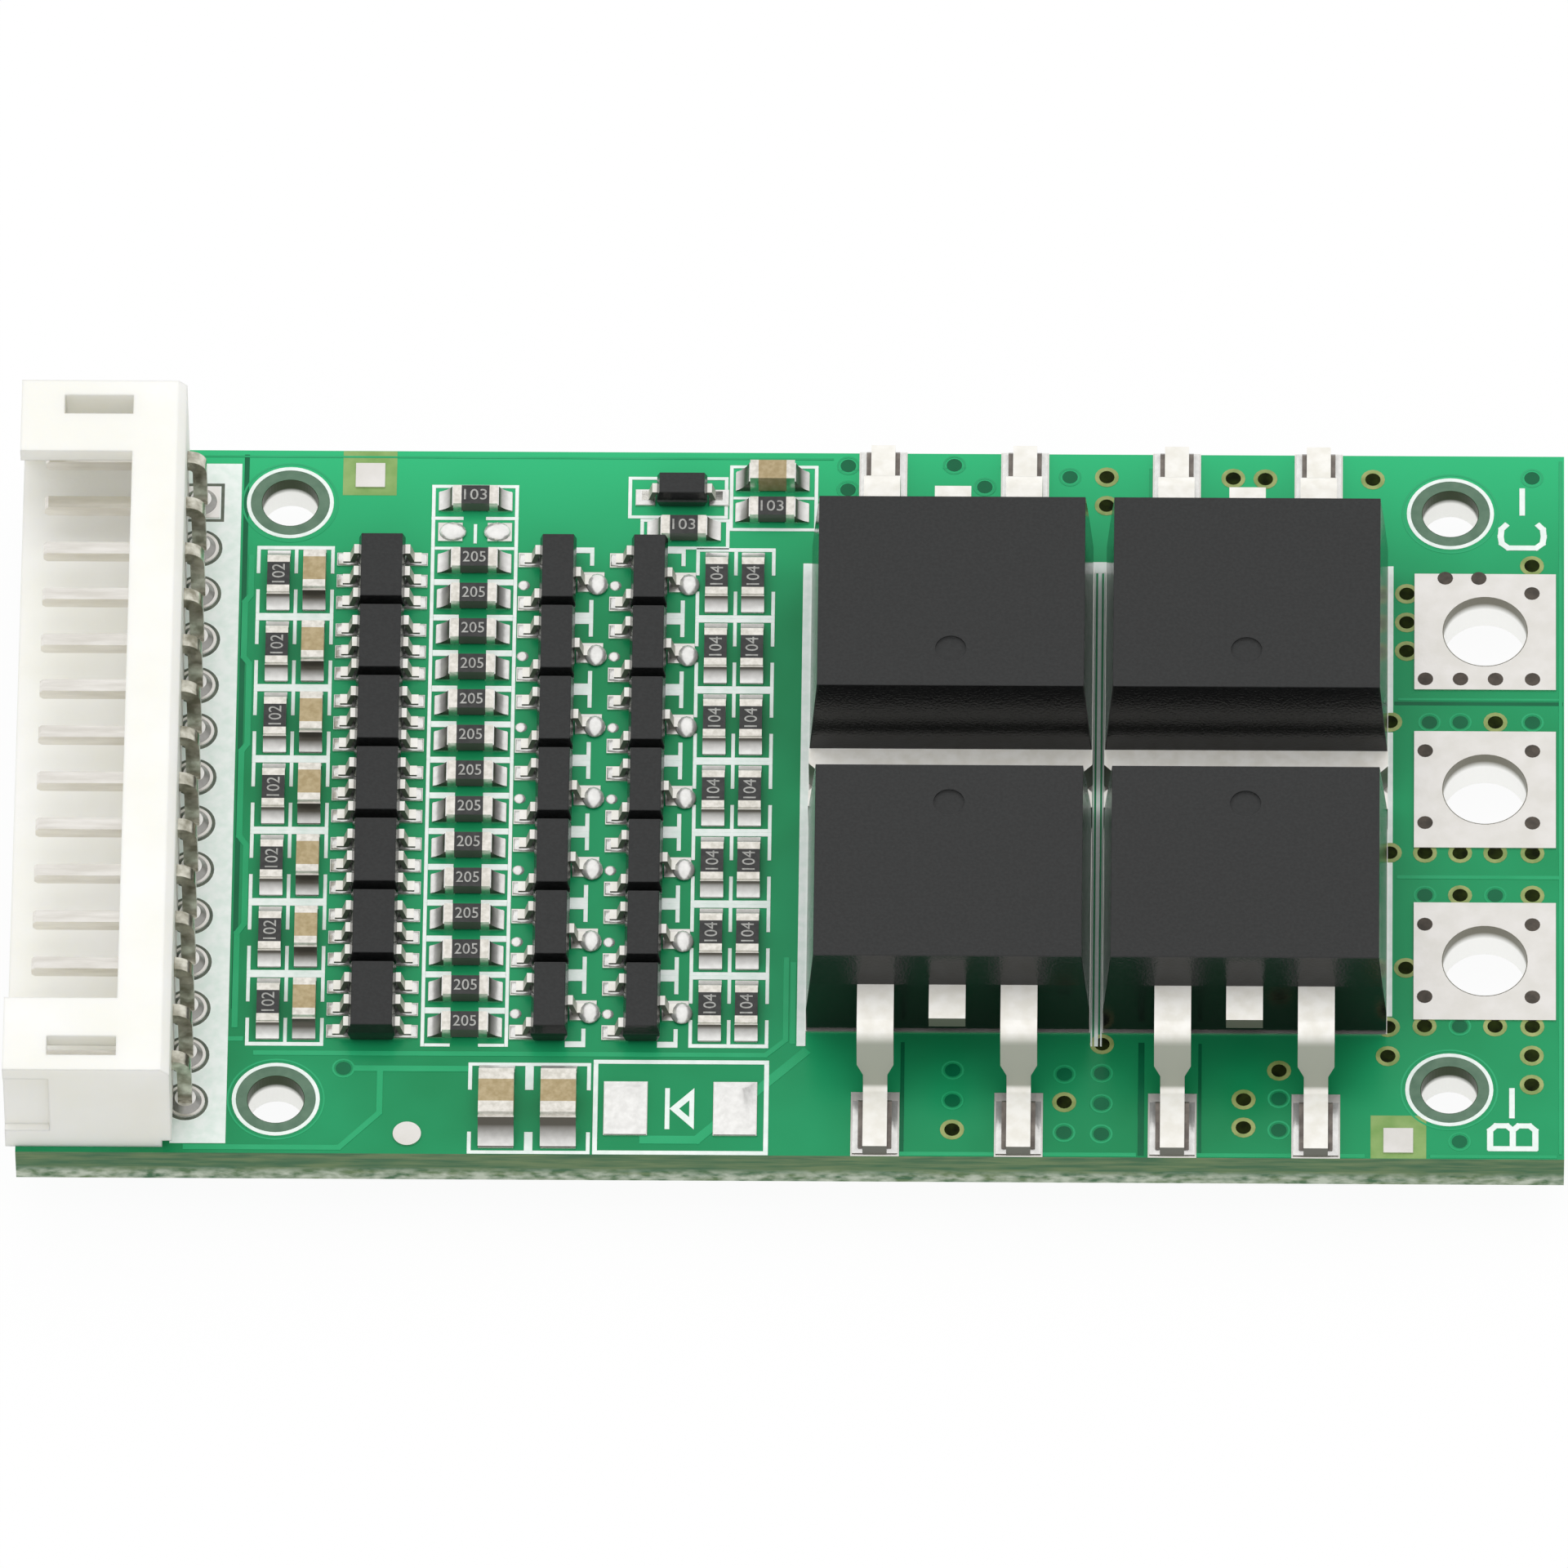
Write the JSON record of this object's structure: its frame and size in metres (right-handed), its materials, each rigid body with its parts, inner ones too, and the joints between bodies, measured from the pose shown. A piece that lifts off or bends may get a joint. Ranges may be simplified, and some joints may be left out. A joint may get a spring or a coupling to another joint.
{
  "type": "battery management board",
  "caption": "Green circuit board with a white side-entry cell header, rows of small surface-mount parts, square power transistors and plated bolt-down terminals.",
  "frame": {"origin": "midway between the two screw holes behind the cell header, on the board's flat underside", "axes": "+X towards the bolt-down terminals, +Y towards the back edge, +Z out of the component side"},
  "size_m": [0.0551, 0.0306, 0.0082],
  "materials": {
    "laminate": "green solder mask with white legend over glass-epoxy laminate",
    "tinned_land": "bright tinned copper land",
    "solder": "bright reflowed solder",
    "nylon": "natural white nylon",
    "contact": "tin-plated square wire",
    "moulding": "fine-grained black epoxy moulding compound",
    "drain_tab": "tin-plated copper tab",
    "plated_lead": "matt tin-plated lead frame",
    "resistor_film": "black glazed overcoat",
    "capacitor_ceramic": "tan fired ceramic"
  },
  "bodies": {
    "root": {"pcb": "laminate", "header_lands": "tinned_land", "header_housing": "nylon", "header_pin_1": "contact", "header_pin_2": "contact", "header_pin_3": "contact", "header_pin_4": "contact", "header_pin_5": "contact", "header_pin_6": "contact", "header_pin_7": "contact", "header_pin_8": "contact", "header_pin_9": "contact", "header_pin_10": "contact", "header_pin_11": "contact", "header_pin_12": "contact", "header_pin_13": "contact", "header_pin_14": "contact", "header_solder": "solder", "terminal_land_1": "tinned_land", "terminal_land_2": "tinned_land", "terminal_land_3": "tinned_land", "fet_1_body": "moulding", "fet_1_drain_tab": "drain_tab", "fet_1_leads": "plated_lead", "fet_2_body": "moulding", "fet_2_drain_tab": "drain_tab", "fet_2_leads": "plated_lead", "fet_3_body": "moulding", "fet_3_drain_tab": "drain_tab", "fet_3_leads": "plated_lead", "fet_4_body": "moulding", "fet_4_drain_tab": "drain_tab", "fet_4_leads": "plated_lead", "fet_lands": "tinned_land", "cell_monitor_1": "moulding", "cell_monitor_2": "moulding", "cell_monitor_3": "moulding", "cell_monitor_4": "moulding", "cell_monitor_5": "moulding", "cell_monitor_6": "moulding", "cell_monitor_7": "moulding", "cell_monitor_leads": "plated_lead", "shifter_transistors_a": "moulding", "shifter_transistors_b": "moulding", "shifter_leads": "plated_lead", "input_resistors": "resistor_film", "shifter_resistors": "resistor_film", "gate_resistors": "resistor_film", "supply_resistors": "resistor_film", "filter_capacitors": "capacitor_ceramic", "bulk_capacitors": "capacitor_ceramic", "chip_terminations": "solder", "clamp_diode": "moulding", "clamp_diode_leads": "plated_lead", "surface_lands": "tinned_land", "solder_fillets": "solder"}
  },
  "joints": []
}
